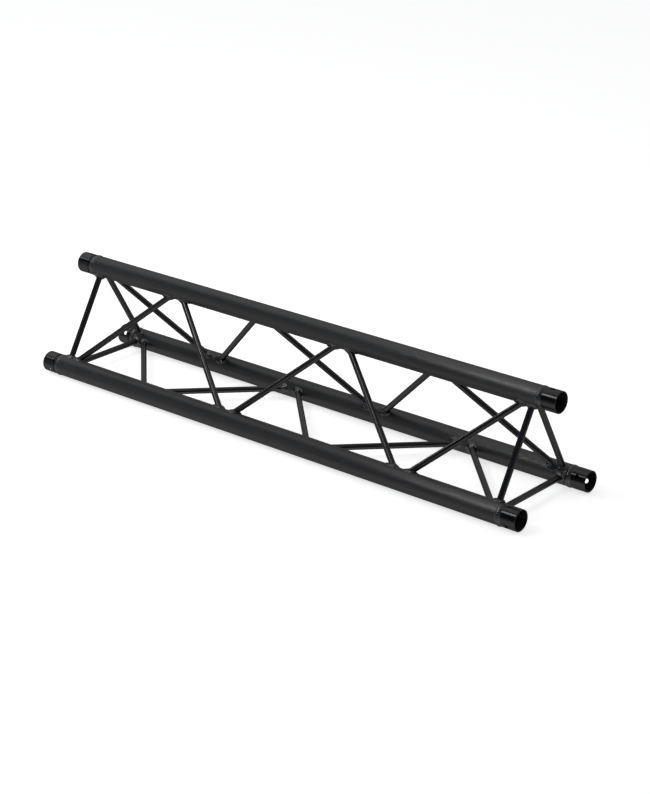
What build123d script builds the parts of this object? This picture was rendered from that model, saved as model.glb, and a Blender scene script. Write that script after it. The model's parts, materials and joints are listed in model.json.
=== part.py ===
from build123d import *
import math
import os

# Triangular lighting truss section with conical receivers, in millimetres.
#
# Frame: +X runs along the truss, from its left end to its right end. +Y runs from the front chord to
# the back chord. +Z is up. The truss lies on its front and back chords with the top chord above them.
# The origin is under the middle of the truss, at the height of the lowest point of the ring welds.
#
# The section has threefold symmetry about its centre line, so everything is made once for the front
# chord or the front side, and then turned by 120 and 240 degrees.

# Driving dimensions
SECTION_LENGTH = 1000.0
CHORD_SPACING = 182.6
CHORD_DIAMETER = 35.0
CHORD_WALL = 1.6
BRACE_DIAMETER = 10.0
PANEL_COUNT = 5
FIRST_STATION_INSET = 47.4
END_BRACE_INSET = 45.5

# Receiver, measured from its open mouth inwards
RECEIVER_LENGTH = 60.0
COLLAR_LENGTH = 24.6
CHORD_END_INSET = 31.5
NECK_DIAMETER = 32.6
SPIGOT_CLEARANCE = 0.05
MOUTH_DIAMETER = 31.4
REGISTER_LENGTH = 5.0
SOCKET_END_DIAMETER = 25.4
PIN_HOLE_DIAMETER = 7.5
PIN_HOLE_INSET = 16.1
EDGE_CHAMFER = 0.5
MOUTH_CHAMFER = 0.6

# Welds
RING_WELD_HEIGHT = 1.6
RING_WELD_INSET = 31.9
RING_WELD_SECTION_RADIUS = 6.0
BRACE_WELD_LEG = 3.2
BRACE_WELD_SINK = 3.0
BRACE_WELD_RIM = 0.1
BRACE_WELD_SIDE_TAPER = 0.62

# Derived sizes
CHORD_RADIUS = CHORD_DIAMETER / 2
BRACE_RADIUS = BRACE_DIAMETER / 2
HALF_LENGTH = SECTION_LENGTH / 2
TRIANGLE_HEIGHT = CHORD_SPACING * math.sqrt(3) / 2
LOWER_CHORD_HEIGHT = CHORD_RADIUS + RING_WELD_HEIGHT
CENTRE_HEIGHT = LOWER_CHORD_HEIGHT + TRIANGLE_HEIGHT / 3
CENTRE_TO_CHORD = CHORD_SPACING / math.sqrt(3)
PANEL_LENGTH = (SECTION_LENGTH - 2 * FIRST_STATION_INSET) / PANEL_COUNT
END_BRACE_X = HALF_LENGTH - END_BRACE_INSET

CHORD_NAMES = ["front", "top", "back"]
SIDE_NAMES = ["front", "back", "bottom"]
END_NAMES = {-1: "left", 1: "right"}
CENTRE_LINE = Axis((0, 0, CENTRE_HEIGHT), (1, 0, 0))


def station_x(index):
    """Place along X where the diagonals of two neighbouring panels meet on a chord's axis."""
    return FIRST_STATION_INSET - HALF_LENGTH + index * PANEL_LENGTH


def chord_point(chord, x):
    """Point on a chord's axis: chord 0 is the front one, 1 the top one, 2 the back one."""
    angle = math.radians(210 - 120 * chord)
    return Vector(
        x,
        CENTRE_TO_CHORD * math.cos(angle),
        CENTRE_HEIGHT + CENTRE_TO_CHORD * math.sin(angle),
    )


def turned(shape, chord):
    """Turn a shape made for the front chord to the place of another chord."""
    return shape.rotate(CENTRE_LINE, -120 * chord)


def rod(start, end, radius):
    """Round rod between two points."""
    direction = end - start
    plane = Plane(origin=start, z_dir=direction)
    return plane * Cylinder(radius, direction.length, align=(Align.CENTER, Align.CENTER, Align.MIN))


def revolved(points, end):
    """Solid of revolution about the front chord's axis.

    Each point holds the distance from the section's end and the radius.
    """
    axis_start = chord_point(0, 0)
    outline = [(end * (HALF_LENGTH - inset), axis_start.Y, axis_start.Z + radius) for inset, radius in points]
    face = make_face(Polyline(*outline, close=True))
    return revolve(face, Axis(axis_start, (1, 0, 0)))


def chord_tube():
    """Front chord tube, which stops short of the section's ends to take the receivers."""
    half = HALF_LENGTH - CHORD_END_INSET
    start = chord_point(0, -half)
    end = chord_point(0, half)
    return rod(start, end, CHORD_RADIUS) - rod(start, end, CHORD_RADIUS - CHORD_WALL)


def receiver(end):
    """Receiver of the front chord: collar, weld neck and spigot round its socket.

    The socket is straight at its mouth and conical behind that.
    """
    spigot_radius = CHORD_RADIUS - CHORD_WALL - SPIGOT_CLEARANCE
    neck_radius = NECK_DIAMETER / 2
    mouth_radius = MOUTH_DIAMETER / 2
    socket_end_radius = SOCKET_END_DIAMETER / 2
    body = revolved(
        [
            (0, mouth_radius + MOUTH_CHAMFER),
            (0, CHORD_RADIUS - EDGE_CHAMFER),
            (EDGE_CHAMFER, CHORD_RADIUS),
            (COLLAR_LENGTH - EDGE_CHAMFER, CHORD_RADIUS),
            (COLLAR_LENGTH, CHORD_RADIUS - EDGE_CHAMFER),
            (COLLAR_LENGTH, neck_radius),
            (CHORD_END_INSET, neck_radius),
            (CHORD_END_INSET, spigot_radius),
            (RECEIVER_LENGTH - EDGE_CHAMFER, spigot_radius),
            (RECEIVER_LENGTH, spigot_radius - EDGE_CHAMFER),
            (RECEIVER_LENGTH, socket_end_radius),
            (REGISTER_LENGTH, mouth_radius),
            (MOUTH_CHAMFER, mouth_radius),
        ],
        end,
    )
    middle = chord_point(0, end * (HALF_LENGTH - PIN_HOLE_INSET))
    outward = (middle - Vector(middle.X, 0, CENTRE_HEIGHT)).normalized()
    reach = outward * CHORD_DIAMETER
    return body - rod(middle - reach, middle + reach, PIN_HOLE_DIAMETER / 2)


def ring_weld(end):
    """Weld bead that runs round the joint between the front chord tube and its receiver."""
    joint = chord_point(0, end * (HALF_LENGTH - CHORD_END_INSET))
    middle = chord_point(0, end * (HALF_LENGTH - RING_WELD_INSET))
    reach = Vector(end * CHORD_DIAMETER, 0, 0)
    crown_radius = CHORD_RADIUS + RING_WELD_HEIGHT
    plane = Plane(origin=middle, z_dir=(1, 0, 0))
    bead = plane * Torus(crown_radius - RING_WELD_SECTION_RADIUS, RING_WELD_SECTION_RADIUS)
    return bead - rod(joint - reach, joint, CHORD_RADIUS) - rod(joint, joint + reach, NECK_DIAMETER / 2)


def brace(start, end):
    """Round brace between two chord axes, with its ends coped to the chords' outer surface."""
    result = rod(start, end, BRACE_RADIUS)
    for foot in (start, end):
        result -= chord_core(foot)
    return result


def chord_core(foot):
    """Solid cylinder of the chord's outer diameter, around a point on the chord's axis."""
    reach = Vector(2 * CHORD_DIAMETER, 0, 0)
    return rod(foot - reach, foot + reach, CHORD_RADIUS)


def brace_weld(foot, far):
    """Fillet weld round a brace's foot: a sloping skirt from the chord's surface up the brace."""
    direction = (far - foot).normalized()
    radial = Vector(0, direction.Y, direction.Z).normalized()
    slope = direction.dot(radial)
    root_height = CHORD_RADIUS - BRACE_WELD_SINK
    crown_height = CHORD_RADIUS + BRACE_WELD_LEG
    spread = BRACE_WELD_LEG + BRACE_WELD_SINK
    outlines = [
        (root_height, spread, spread * BRACE_WELD_SIDE_TAPER),
        (crown_height, BRACE_WELD_RIM, BRACE_WELD_RIM),
    ]
    sections = []
    for height, lengthwise, sideways in outlines:
        plane = Plane(origin=foot + direction * (height / slope), x_dir=(1, 0, 0), z_dir=radial)
        sections.append(plane * Ellipse(BRACE_RADIUS / slope + lengthwise, BRACE_RADIUS + sideways))
    skirt = loft(sections, ruled=True)
    return skirt - chord_core(foot) - rod(foot, far, BRACE_RADIUS)


def side_members():
    """Braces of the front side, as (name, start, end), from the front chord to the top chord."""
    members = []
    for end in (-1, 1):
        x = end * END_BRACE_X
        members.append((f"end_brace_SIDE_{END_NAMES[end]}", chord_point(0, x), chord_point(1, x)))
    for panel in range(PANEL_COUNT):
        from_chord = panel % 2
        start = chord_point(from_chord, station_x(panel))
        end_point = chord_point(1 - from_chord, station_x(panel + 1))
        members.append((f"diagonal_brace_SIDE_{panel + 1}", start, end_point))
    return members


def build_nodes():
    """All sub-parts by name."""
    nodes = {}
    tube = chord_tube()
    receivers = {end: receiver(end) for end in END_NAMES}
    ring_welds = {end: ring_weld(end) for end in END_NAMES}
    members = side_members()
    braces = {name: brace(start, end) for name, start, end in members}
    welds = {0: [], 1: []}
    for name, start, end in members:
        for foot, far in ((start, end), (end, start)):
            on_top_chord = foot.Z > CENTRE_HEIGHT
            welds[int(on_top_chord)].append(brace_weld(foot, far))

    for chord, chord_name in enumerate(CHORD_NAMES):
        nodes[f"chord_tube_{chord_name}"] = turned(tube, chord)
        for end, end_name in END_NAMES.items():
            nodes[f"receiver_{chord_name}_{end_name}"] = turned(receivers[end], chord)
            nodes[f"ring_weld_{chord_name}_{end_name}"] = turned(ring_welds[end], chord)

    for side, side_name in enumerate(SIDE_NAMES):
        for name, shape in braces.items():
            nodes[name.replace("SIDE", side_name)] = turned(shape, side)
        for offset, beads in welds.items():
            chord_name = CHORD_NAMES[(side + offset) % len(CHORD_NAMES)]
            group = Compound(children=[turned(bead, side) for bead in beads])
            nodes[f"brace_welds_{side_name}_side_{chord_name}_chord"] = group
    return nodes


def main():
    os.makedirs("parts", exist_ok=True)
    for name, shape in build_nodes().items():
        export_step(shape, f"parts/{name}.step")


main()
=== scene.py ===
import json
import math

import bpy
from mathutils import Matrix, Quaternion, Vector, noise


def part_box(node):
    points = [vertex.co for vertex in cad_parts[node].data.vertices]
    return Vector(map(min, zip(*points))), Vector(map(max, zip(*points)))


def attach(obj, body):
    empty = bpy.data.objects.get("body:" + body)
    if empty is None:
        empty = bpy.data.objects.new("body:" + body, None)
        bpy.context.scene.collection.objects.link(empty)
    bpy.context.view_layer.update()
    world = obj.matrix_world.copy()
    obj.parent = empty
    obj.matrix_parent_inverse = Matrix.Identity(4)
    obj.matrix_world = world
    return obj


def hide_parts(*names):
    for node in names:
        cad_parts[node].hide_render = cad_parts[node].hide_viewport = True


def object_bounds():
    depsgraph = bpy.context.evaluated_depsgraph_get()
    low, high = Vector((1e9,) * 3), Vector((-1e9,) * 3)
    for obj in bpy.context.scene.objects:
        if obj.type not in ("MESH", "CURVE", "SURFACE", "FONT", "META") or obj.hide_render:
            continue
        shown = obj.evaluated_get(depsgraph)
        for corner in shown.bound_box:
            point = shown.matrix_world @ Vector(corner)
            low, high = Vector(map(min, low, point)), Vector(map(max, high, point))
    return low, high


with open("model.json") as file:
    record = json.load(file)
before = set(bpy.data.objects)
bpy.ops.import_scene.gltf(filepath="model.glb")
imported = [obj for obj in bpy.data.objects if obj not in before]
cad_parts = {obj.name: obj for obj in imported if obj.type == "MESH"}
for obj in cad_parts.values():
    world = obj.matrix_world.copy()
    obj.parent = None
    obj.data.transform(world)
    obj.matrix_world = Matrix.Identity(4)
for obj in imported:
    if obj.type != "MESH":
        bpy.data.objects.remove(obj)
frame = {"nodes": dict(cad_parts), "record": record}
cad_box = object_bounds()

# Everything is in metres, in the frame of the CAD model: +X along the truss, +Y from the front chord to
# the back chord, +Z up.

CHORDS = ("front", "top", "back")
SIDES = ("front", "back", "bottom")
ENDS = {"left": -1, "right": 1}
PANELS = 5
MM = 0.001

# Places of the braces along the section, measured from its ends
FIRST_STATION_INSET = 47.4 * MM
END_BRACE_INSET = 45.5 * MM

# Radius of the receivers' weld neck, wall of the chord tubes, and how far a bead's toes lie under the
# surfaces it is welded to
NECK_RADIUS = 16.3 * MM
CHORD_WALL = 1.6 * MM
TOE_DEPTH = 0.08 * MM


def box_centre(node):
    low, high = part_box(node)
    return (low + high) / 2


def box_size(node):
    low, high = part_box(node)
    return high - low


TOTAL_LENGTH = cad_box[1].x - cad_box[0].x
HALF_LENGTH = TOTAL_LENGTH / 2
CHORD_AXES = {name: box_centre(f"chord_tube_{name}") for name in CHORDS}
CHORD_END = box_size("chord_tube_top").x / 2
CHORD_RADIUS = box_size("receiver_top_right").z / 2
BRACE_RADIUS = box_size("end_brace_bottom_left").x / 2


# Meshes ---------------------------------------------------------------------------------------------


def mesh_piece(name, vertices, faces, material, node):
    """Smooth mesh object that takes a CAD node's place."""
    mesh = bpy.data.meshes.new(name)
    mesh.from_pydata(vertices, [], faces)
    mesh.update()
    mesh.shade_smooth()
    mesh.set_sharp_from_angle(angle=math.radians(35))
    mesh.materials.append(material)
    piece = bpy.data.objects.new(name, mesh)
    bpy.context.scene.collection.objects.link(piece)
    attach(piece, "root")
    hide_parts(node)
    return piece


def ring_faces(rings, around, first=0, flip=False):
    """Quads of a closed surface: rings of vertices, joined end to end both ways.

    flip turns the faces over, for rings that are listed in the other order.
    """
    faces = []
    for ring in range(rings):
        following = (ring + 1) % rings
        for step in range(around):
            beyond = (step + 1) % around
            corners = (
                first + ring * around + step,
                first + ring * around + beyond,
                first + following * around + beyond,
                first + following * around + step,
            )
            faces.append(corners[::-1] if flip else corners)
    return faces


def chord_tube(name, material):
    """Chord tube with a fine round wall, rounded at its cut ends."""
    around = 128
    rows = 40
    edge = 0.25 * MM
    outer = CHORD_RADIUS
    inner = CHORD_RADIUS - CHORD_WALL
    reach = CHORD_END - edge
    profile = [(-reach + 2 * reach * row / rows, outer) for row in range(rows + 1)]
    profile += [(CHORD_END, outer - edge), (CHORD_END, inner + edge), (CHORD_END - edge, inner)]
    profile += [(edge - CHORD_END, inner), (-CHORD_END, inner + edge), (-CHORD_END, outer - edge)]
    centre = CHORD_AXES[name]
    vertices = []
    for x, radius in profile:
        for step in range(around):
            angle = 2 * math.pi * step / around
            vertices.append((x, centre.y + radius * math.cos(angle), centre.z + radius * math.sin(angle)))
    faces = ring_faces(len(profile), around)
    node = f"chord_tube_{name}"
    return mesh_piece(f"{node}_skin", vertices, faces, material, node)


def wobble(seed, place, size):
    """Smooth noise between about -1 and 1 at a place on a bead, for an uneven hand-made weld."""
    return noise.noise(Vector((place.x / size, place.y / size, place.z / size + 7.3 * seed)))


def ring_weld(chord, end_name, material):
    """Rippled bead round the joint between a chord tube and its receiver."""
    around = 384
    across = 16
    ripples = 62
    ripple_depth = 0.08 * MM
    ripple_bow = 2.6
    low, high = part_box(f"ring_weld_{chord}_{end_name}")
    end = ENDS[end_name]
    centre = CHORD_AXES[chord]
    inner_x, outer_x = (low.x, high.x) if end > 0 else (high.x, low.x)
    highest = (high.z - low.z) / 2 - CHORD_RADIUS
    seed = CHORDS.index(chord) * 2 + (end > 0)
    middle = Vector(((inner_x + outer_x) / 2, centre.y, centre.z))
    sections = [[] for _ in range(across + 2)]
    for step in range(around):
        angle = 2 * math.pi * step / around
        spoke = Vector((0, math.cos(angle), math.sin(angle)))
        sample = Vector((end, 3 * spoke.y, 3 * spoke.z))
        height = highest * (0.82 + 0.18 * wobble(seed, sample, 0.9))
        drift = 0.5 * MM * wobble(seed + 20, sample, 0.9)
        spread = 1 + 0.10 * wobble(seed + 40, sample, 0.7)
        for row in range(across + 1):
            along = row / across
            x = inner_x + (outer_x - inner_x) * (0.5 + (along - 0.5) * spread)
            base = CHORD_RADIUS + (NECK_RADIUS - CHORD_RADIUS) * along
            crown = math.sin(math.pi * along) ** 0.6
            bow = ripple_bow * (1 - (2 * along - 1) ** 2)
            scale = ripple_depth * crown * (math.cos(ripples * angle - bow) - 1)
            radius = base - TOE_DEPTH + (height + TOE_DEPTH) * crown + scale
            place = Vector((x + drift * crown, centre.y, centre.z)) + spoke * radius
            sections[row].append(place)
        sections[across + 1].append(middle + spoke * (NECK_RADIUS - 0.5 * MM))
    vertices = [place for section in sections for place in section]
    faces = ring_faces(len(sections), around, flip=end < 0)
    node = f"ring_weld_{chord}_{end_name}"
    return mesh_piece(f"{node}_bead", vertices, faces, material, node)


def between(low, high, share):
    """Value between two others."""
    return low + (high - low) * share


def foot_bead(foot, far, seed):
    """Vertices of the bead round one brace foot, as sections that each run once round the brace.

    The bead is a hollow fillet where the brace leans away from the chord, bulges at the brace's sides, and
    is a low ridge in the narrow corner under the brace, which leaves a dark pocket there. openness goes
    from the narrow corner to the open side, and sets how far the bead reaches along chord and brace.
    """
    around = 180
    across = 12
    ripples = 17
    ripple_depth = 0.11 * MM
    ripple_bow = 2.2
    lump_height = 7 * MM
    chord_legs = (5.2 * MM, 6.2 * MM)
    brace_legs = (0.3 * MM, 6.6 * MM)
    pocket_openness = 0.45
    pocket_ridge = 2.4 * MM
    along_chord = Vector((1, 0, 0))
    direction = (far - foot).normalized()
    radial = Vector((0, direction.y, direction.z)).normalized()
    sideways = along_chord.cross(radial)
    lean = direction.x
    rise = direction.dot(radial)
    normal = along_chord * rise - radial * lean

    def crossing(turn):
        """Place on the line where brace and chord meet, and how far up the brace it is."""
        side = BRACE_RADIUS * math.sin(turn)
        height = math.sqrt(CHORD_RADIUS ** 2 - side ** 2)
        distance = (height + BRACE_RADIUS * math.cos(turn) * lean) / rise
        rim = normal * math.cos(turn) + sideways * math.sin(turn)
        return foot + direction * distance + rim * BRACE_RADIUS, distance, rim

    def unrolled(place):
        """Place on the chord's surface, rolled out flat."""
        offset = place - foot
        return offset.x, CHORD_RADIUS * math.atan2(offset.dot(sideways), offset.dot(radial))

    sections = [[] for _ in range(across + 2)]
    small = 2 * math.pi / around
    for step in range(around):
        turn = small * step
        corner, distance, rim = crossing(turn)
        before = unrolled(crossing(turn - small)[0])
        after = unrolled(crossing(turn + small)[0])
        here = unrolled(corner)
        tangent = Vector((after[0] - before[0], after[1] - before[1])).normalized()
        outward = Vector((tangent.y, -tangent.x))
        openness = 0.5 - 0.7 * math.cos(turn) * lean
        pocket = max(0, 1 - openness / pocket_openness)
        uneven = 1 + 0.30 * wobble(seed, corner, 5 * MM)
        lump = min(0.24, max(0, wobble(seed + 60, corner, 5.5 * MM)) ** 2)
        chord_leg = between(*chord_legs, openness) * uneven
        brace_leg = between(*brace_legs, openness) * (2 - uneven)
        toe_x = here[0] + outward.x * chord_leg
        toe_angle = (here[1] + outward.y * chord_leg) / CHORD_RADIUS
        spoke = radial * math.cos(toe_angle) + sideways * math.sin(toe_angle)
        chord_toe = foot + along_chord * toe_x + spoke * (CHORD_RADIUS - TOE_DEPTH)
        brace_toe = foot + direction * (distance + brace_leg) + rim * (BRACE_RADIUS - TOE_DEPTH)
        fullness = 0.82 - 0.36 * max(0, 2 * openness - 1) ** 1.5
        waist = corner + (chord_toe + brace_toe - corner * 2) * fullness
        waist += spoke * (pocket_ridge * pocket)
        out = (waist - corner).normalized()
        for row in range(across + 1):
            share = row / across
            place = chord_toe * (1 - share) ** 2 + waist * 2 * share * (1 - share) + brace_toe * share ** 2
            crown = math.sin(math.pi * share)
            bow = ripple_bow * (1 - (2 * share - 1) ** 2)
            ripple = ripple_depth * math.cos(ripples * turn - bow)
            sections[row].append(place + out * (crown * (ripple + lump_height * lump)))
        sections[across + 1].append(corner - out * 0.6 * MM)
    return sections


def station_x(index):
    """Place along X where the diagonals of two neighbouring panels meet on a chord's axis."""
    pitch = (TOTAL_LENGTH - 2 * FIRST_STATION_INSET) / PANELS
    return FIRST_STATION_INSET - HALF_LENGTH + index * pitch


def side_feet(side):
    """Each brace foot on one side of the truss, as (chord name, foot on the chord's axis, other foot)."""
    pair = (CHORDS[side], CHORDS[(side + 1) % len(CHORDS)])
    members = []
    for end in ENDS.values():
        x = end * (HALF_LENGTH - END_BRACE_INSET)
        members.append(((pair[0], x), (pair[1], x)))
    for panel in range(PANELS):
        first = panel % 2
        members.append(((pair[first], station_x(panel)), (pair[1 - first], station_x(panel + 1))))
    feet = []
    for member in members:
        places = [Vector((x, CHORD_AXES[chord].y, CHORD_AXES[chord].z)) for chord, x in member]
        feet.append((member[0][0], places[0], places[1]))
        feet.append((member[1][0], places[1], places[0]))
    return feet


def brace_welds(side, chord, material):
    """All the beads where one side's braces stand on one chord."""
    vertices = []
    faces = []
    for number, (foot_chord, foot, far) in enumerate(side_feet(side)):
        if foot_chord != chord:
            continue
        sections = foot_bead(foot, far, 10 * side + number)
        faces += ring_faces(len(sections), len(sections[0]), len(vertices), flip=True)
        vertices += [place for section in sections for place in section]
    node = f"brace_welds_{SIDES[side]}_side_{chord}_chord"
    return mesh_piece(f"{node}_beads", vertices, faces, material, node)


# Materials ------------------------------------------------------------------------------------------


class Nodes:
    """Short way to add and join shader nodes."""

    def __init__(self, tree):
        self.tree = tree
        tree.nodes.clear()

    def add(self, kind, inputs=None, **settings):
        node = self.tree.nodes.new(kind)
        for key, value in settings.items():
            setattr(node, key, value)
        for key, value in (inputs or {}).items():
            socket = node.inputs[key]
            if isinstance(value, bpy.types.NodeSocket):
                self.tree.links.new(value, socket)
            else:
                socket.default_value = value
        return node


def near_chord_axis(nodes, place, reach):
    """1 inside the given distance of any chord's axis, and 0 outside it."""
    flat = nodes.add("ShaderNodeVectorMath", {0: place, 1: (0, 1, 1)}, operation="MULTIPLY").outputs[0]
    nearest = None
    for centre in CHORD_AXES.values():
        axis = (0, centre.y, centre.z)
        measure = nodes.add("ShaderNodeVectorMath", {0: flat, 1: axis}, operation="DISTANCE")
        distance = measure.outputs["Value"]
        if nearest:
            least = nodes.add("ShaderNodeMath", {0: nearest, 1: distance}, operation="MINIMUM")
            distance = least.outputs[0]
        nearest = distance
    return nodes.add("ShaderNodeMath", {0: nearest, 1: reach}, operation="LESS_THAN").outputs[0]


def noise_texture(nodes, place, scale, detail, roughness):
    """Noise value at each place, with scale in bumps per metre."""
    settings = {"Vector": place, "Scale": scale, "Detail": detail, "Roughness": roughness}
    return nodes.add("ShaderNodeTexNoise", settings).outputs["Fac"]


def coating(name, dark, light, roughness, specular, peel, peel_size, drawn=0.0, turned=0.0, grain=None,
            bore=None):
    """Black coat over aluminium.

    dark and light are the limits of the colour's slow variation, roughness holds the limits of the gloss,
    and peel is the height of the orange peel. drawn spreads the gloss round the X axis, as on drawn tube,
    and turned spreads it along X, as on a turned part. grain adds fine lathe rings along X, as
    (pitch, height). bore gives another colour near the chords' axes, as (distance, colour).
    """
    material = bpy.data.materials.new(name)
    material.use_nodes = True
    nodes = Nodes(material.node_tree)
    place = nodes.add("ShaderNodeTexCoord").outputs["Object"]

    clouds = noise_texture(nodes, place, 22.0, 5.0, 0.6)
    specks = noise_texture(nodes, place, 900.0, 3.0, 0.7)
    variation = nodes.add("ShaderNodeMix", {"Factor": 0.35, 2: clouds, 3: specks}, data_type="FLOAT")
    ramp = nodes.add("ShaderNodeValToRGB", {"Fac": variation.outputs[0]})
    ramp.color_ramp.elements[0].position = 0.35
    ramp.color_ramp.elements[0].color = (*dark, 1)
    ramp.color_ramp.elements[1].position = 0.68
    ramp.color_ramp.elements[1].color = (*light, 1)
    colour = ramp.outputs["Color"]
    if bore:
        reach, bore_colour = bore
        inside = near_chord_axis(nodes, place, reach)
        inputs = {"Factor": inside, 6: colour, 7: (*bore_colour, 1)}
        colour = nodes.add("ShaderNodeMix", inputs, data_type="RGBA").outputs[2]

    gloss = nodes.add(
        "ShaderNodeMapRange",
        {
            "Value": noise_texture(nodes, place, 60.0, 6.0, 0.65),
            "From Min": 0.3,
            "From Max": 0.7,
            "To Min": roughness[0],
            "To Max": roughness[1],
        },
    )

    orange_peel = noise_texture(nodes, place, 1 / peel_size, 2.0, 0.5)
    bump = nodes.add("ShaderNodeBump", {"Height": orange_peel, "Strength": 1.0, "Distance": peel})
    if grain:
        pitch, height = grain
        rings = nodes.add(
            "ShaderNodeTexWave",
            {"Vector": place, "Scale": 1 / (pitch * 3.2), "Distortion": 0.6, "Detail": 2.0},
            bands_direction="X",
        )
        bump = nodes.add(
            "ShaderNodeBump",
            {
                "Height": rings.outputs["Fac"],
                "Strength": 1.0,
                "Distance": height,
                "Normal": bump.outputs["Normal"],
            },
        )

    shader = nodes.add(
        "ShaderNodeBsdfPrincipled",
        {
            "Base Color": colour,
            "Roughness": gloss.outputs["Result"],
            "Specular IOR Level": specular,
            "Normal": bump.outputs["Normal"],
        },
    )
    if drawn or turned:
        shader.inputs["Anisotropic"].default_value = drawn or turned
        shader.inputs["Anisotropic Rotation"].default_value = 0.25 if turned else 0.0
        tangent = nodes.add("ShaderNodeTangent", direction_type="RADIAL", axis="X")
        nodes.tree.links.new(tangent.outputs["Tangent"], shader.inputs["Tangent"])
    nodes.add("ShaderNodeOutputMaterial", {"Surface": shader.outputs["BSDF"]})
    return material


def make_materials():
    """The four finishes, by the record's slot names."""
    return {
        "chord_coating": coating(
            "matt_black_powder_coat",
            dark=(0.012, 0.012, 0.012),
            light=(0.018, 0.018, 0.0176),
            roughness=(0.28, 0.33),
            specular=0.62,
            peel=0.015 * MM,
            peel_size=0.7 * MM,
            drawn=0.95,
        ),
        "brace_coating": coating(
            "semi_gloss_black_powder_coat",
            dark=(0.005, 0.005, 0.0055),
            light=(0.010, 0.010, 0.011),
            roughness=(0.17, 0.24),
            specular=0.6,
            peel=0.006 * MM,
            peel_size=0.8 * MM,
        ),
        "receiver_coating": coating(
            "gloss_black_coat",
            dark=(0.002, 0.002, 0.0022),
            light=(0.005, 0.005, 0.0054),
            roughness=(0.20, 0.24),
            specular=0.52,
            peel=0.002 * MM,
            peel_size=1.0 * MM,
            turned=0.9,
            grain=(0.35 * MM, 0.0006 * MM),
            bore=(NECK_RADIUS - 0.2 * MM, (0.020, 0.020, 0.020)),
        ),
        "weld_coating": coating(
            "black_coat_on_weld",
            dark=(0.012, 0.012, 0.012),
            light=(0.024, 0.024, 0.0235),
            roughness=(0.20, 0.30),
            specular=0.9,
            peel=0.015 * MM,
            peel_size=0.9 * MM,
        ),
    }


# Stage ----------------------------------------------------------------------------------------------


def make_floor():
    """Large pale floor, bright enough to read as white."""
    half = 14.0
    corners = [(-half, -half, 0), (half, -half, 0), (half, half, 0), (-half, half, 0)]
    mesh = bpy.data.meshes.new("floor")
    mesh.from_pydata(corners, [], [(0, 1, 2, 3)])
    floor = bpy.data.objects.new("floor", mesh)
    bpy.context.scene.collection.objects.link(floor)
    material = bpy.data.materials.new("pale_floor")
    material.use_nodes = True
    nodes = Nodes(material.node_tree)
    shader = nodes.add(
        "ShaderNodeBsdfPrincipled",
        {
            "Base Color": (0.80, 0.80, 0.80, 1),
            "Roughness": 0.9,
            "Specular IOR Level": 0.0,
            "Emission Color": (1, 1, 1, 1),
            "Emission Strength": 0.72,
        },
    )
    nodes.add("ShaderNodeOutputMaterial", {"Surface": shader.outputs["BSDF"]})
    mesh.materials.append(material)
    floor.visible_glossy = False
    floor.visible_diffuse = False


def surround_ramp(nodes, turn, stops):
    """Brightness round the truss's length, from (degrees, brightness) stops.

    0 degrees is level behind the truss, 90 straight up, 180 and -180 level in front of it and -90 straight
    down. The dark stretches are a little blue, and the bright ones a little warm.
    """
    ramp = nodes.add("ShaderNodeValToRGB", {"Fac": turn})
    elements = ramp.color_ramp.elements
    while len(elements) < len(stops):
        elements.new(0.5)
    for element, (degrees, value) in zip(elements, stops):
        element.position = (degrees + 180) / 360
        blue = 0.036 * max(0, 1 - 2.5 * value)
        element.color = (max(1.01 * value - blue / 2, 0), value, 0.985 * value + blue, 1)
    return ramp.outputs["Color"]


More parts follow.
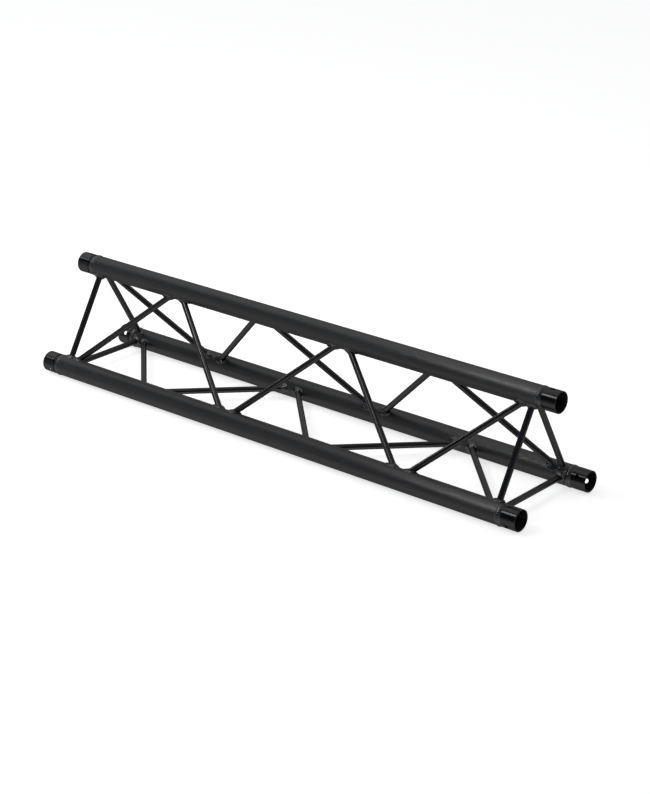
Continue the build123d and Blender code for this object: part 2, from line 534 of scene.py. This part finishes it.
def make_world():
    """Soft studio surround for reflections, whose brightness changes round the truss and along it.

    It is brightest low in front of the truss, as over a pale table, dim overhead and behind, and dark from
    high in front to level in front. The camera sees a plain white backdrop.
    """
    world = bpy.data.worlds.new("studio")
    bpy.context.scene.world = world
    world.use_nodes = True
    nodes = Nodes(world.node_tree)
    direction = nodes.add("ShaderNodeTexCoord").outputs["Generated"]
    parts = nodes.add("ShaderNodeSeparateXYZ", {"Vector": direction}).outputs
    angle = nodes.add("ShaderNodeMath", {0: parts["Z"], 1: parts["Y"]}, operation="ARCTAN2").outputs[0]
    turn = nodes.add("ShaderNodeMapRange", {"Value": angle, "From Min": -math.pi, "From Max": math.pi})
    turn = turn.outputs["Result"]
    far_left = surround_ramp(nodes, turn, [
        (-180, 0.13), (-170, 0.30), (-156, 0.58), (-140, 0.64), (-120, 0.56), (-105, 0.44), (-90, 0.27),
        (-30, 0.17), (36, 0.30), (50, 0.24), (62, 0.20), (90, 0.34), (104, 0.20), (120, 0.03), (138, 0.01),
        (165, 0.03), (180, 0.13),
    ])
    middle = surround_ramp(nodes, turn, [
        (-180, 0.05), (-170, 0.40), (-156, 0.72), (-144, 0.72), (-132, 0.64), (-120, 0.52), (-105, 0.34),
        (-90, 0.22), (-30, 0.16), (20, 0.26), (40, 0.28), (62, 0.32), (90, 0.48), (104, 0.28),
        (120, 0.06), (144, 0.01), (165, 0.02), (180, 0.05),
    ])
    far_right = surround_ramp(nodes, turn, [
        (-180, 0.22), (-168, 0.46), (-152, 0.78), (-134, 0.98), (-110, 0.70), (-90, 0.50), (-50, 0.40),
        (0, 0.34), (30, 0.40), (50, 0.40), (72, 0.30), (94, 0.36), (108, 0.28), (126, 0.16), (150, 0.08),
        (180, 0.22),
    ])
    to_middle = nodes.add("ShaderNodeMapRange", {"Value": parts["X"], "From Min": -0.61, "From Max": -0.55})
    to_right = nodes.add("ShaderNodeMapRange", {"Value": parts["X"], "From Min": -0.20, "From Max": 0.15})
    colour = far_left
    for share, following in ((to_middle, middle), (to_right, far_right)):
        inputs = {"Factor": share.outputs["Result"], 6: colour, 7: following}
        colour = nodes.add("ShaderNodeMix", inputs, data_type="RGBA").outputs[2]
    surround = nodes.add("ShaderNodeBackground", {"Color": colour, "Strength": 1.0})
    backdrop = nodes.add("ShaderNodeBackground", {"Color": (1, 1, 1, 1), "Strength": 1.0})
    seen = nodes.add("ShaderNodeLightPath").outputs["Is Camera Ray"]
    mix = nodes.add("ShaderNodeMixShader", {"Fac": seen, 1: surround.outputs[0], 2: backdrop.outputs[0]})
    nodes.add("ShaderNodeOutputWorld", {"Surface": mix.outputs[0]})


def make_softbox(name, place, aim, width, height, radiance):
    """Rectangular soft light that faces a point, with its size in metres."""
    data = bpy.data.lights.new(name, "AREA")
    data.shape = "RECTANGLE"
    data.size = width
    data.size_y = height
    data.energy = radiance * math.pi * width * height
    light = bpy.data.objects.new(name, data)
    light.location = place
    light.rotation_mode = "QUATERNION"
    light.rotation_quaternion = (Vector(aim) - Vector(place)).to_track_quat("-Z", "Y")
    light.visible_camera = False
    bpy.context.scene.collection.objects.link(light)


def make_lights():
    """A dim panel over the truss, softboxes high in front and far to the left, and a dim card in front."""
    make_softbox("panel", (-1.04, 0.10, 0.78), (-1.04, 0.10, 0), 2.32, 0.80, 0.50)
    make_softbox("softbox_right", (-1.54, -1.94, 2.98), (-1.54, 0, 0), 0.88, 0.74, 9.0)
    make_softbox("softbox_middle", (-0.68, -2.20, 2.82), (-0.68, 0, 0), 1.35, 1.20, 2.1)
    make_softbox("softbox_left", (-7.60, -3.03, 5.25), (0, 0, 0), 0.90, 1.20, 8.0)
    make_softbox("card", (-1.02, -1.00, 0.39), (-1.02, 0, 0.39), 1.00, 0.72, 0.36)


def make_camera():
    """Camera from the front right, above the truss."""
    azimuth = math.radians(40.04)
    elevation = math.radians(22.01)
    roll = math.radians(0.253)
    distance = 3.4314
    aim = Vector((0.0322, 0.0193, 0.0570))
    back = Vector((
        math.sin(azimuth) * math.cos(elevation),
        -math.cos(azimuth) * math.cos(elevation),
        math.sin(elevation),
    ))
    data = bpy.data.cameras.new("camera")
    data.lens = 95.93
    data.sensor_width = 36.0
    camera = bpy.data.objects.new("camera", data)
    camera.location = aim + back * distance
    camera.rotation_mode = "QUATERNION"
    camera.rotation_quaternion = (-back).to_track_quat("-Z", "Y") @ Quaternion((0, 0, 1), roll)
    bpy.context.scene.collection.objects.link(camera)
    bpy.context.scene.camera = camera


# The whole object -----------------------------------------------------------------------------------


def main():
    bpy.context.scene.view_settings.view_transform = "Standard"
    make_camera()
    make_world()
    make_lights()
    make_floor()
    finishes = make_materials()
    for entry in frame["record"]["subparts"]:
        for material_slot in frame["nodes"][entry["node"]].material_slots:
            material_slot.material = finishes[entry["material_slot"]]
    for chord in CHORDS:
        chord_tube(chord, finishes["chord_coating"])
        for end_name in ENDS:
            ring_weld(chord, end_name, finishes["weld_coating"])
    for side in range(len(SIDES)):
        for chord in (CHORDS[side], CHORDS[(side + 1) % len(CHORDS)]):
            brace_welds(side, chord, finishes["weld_coating"])


main()
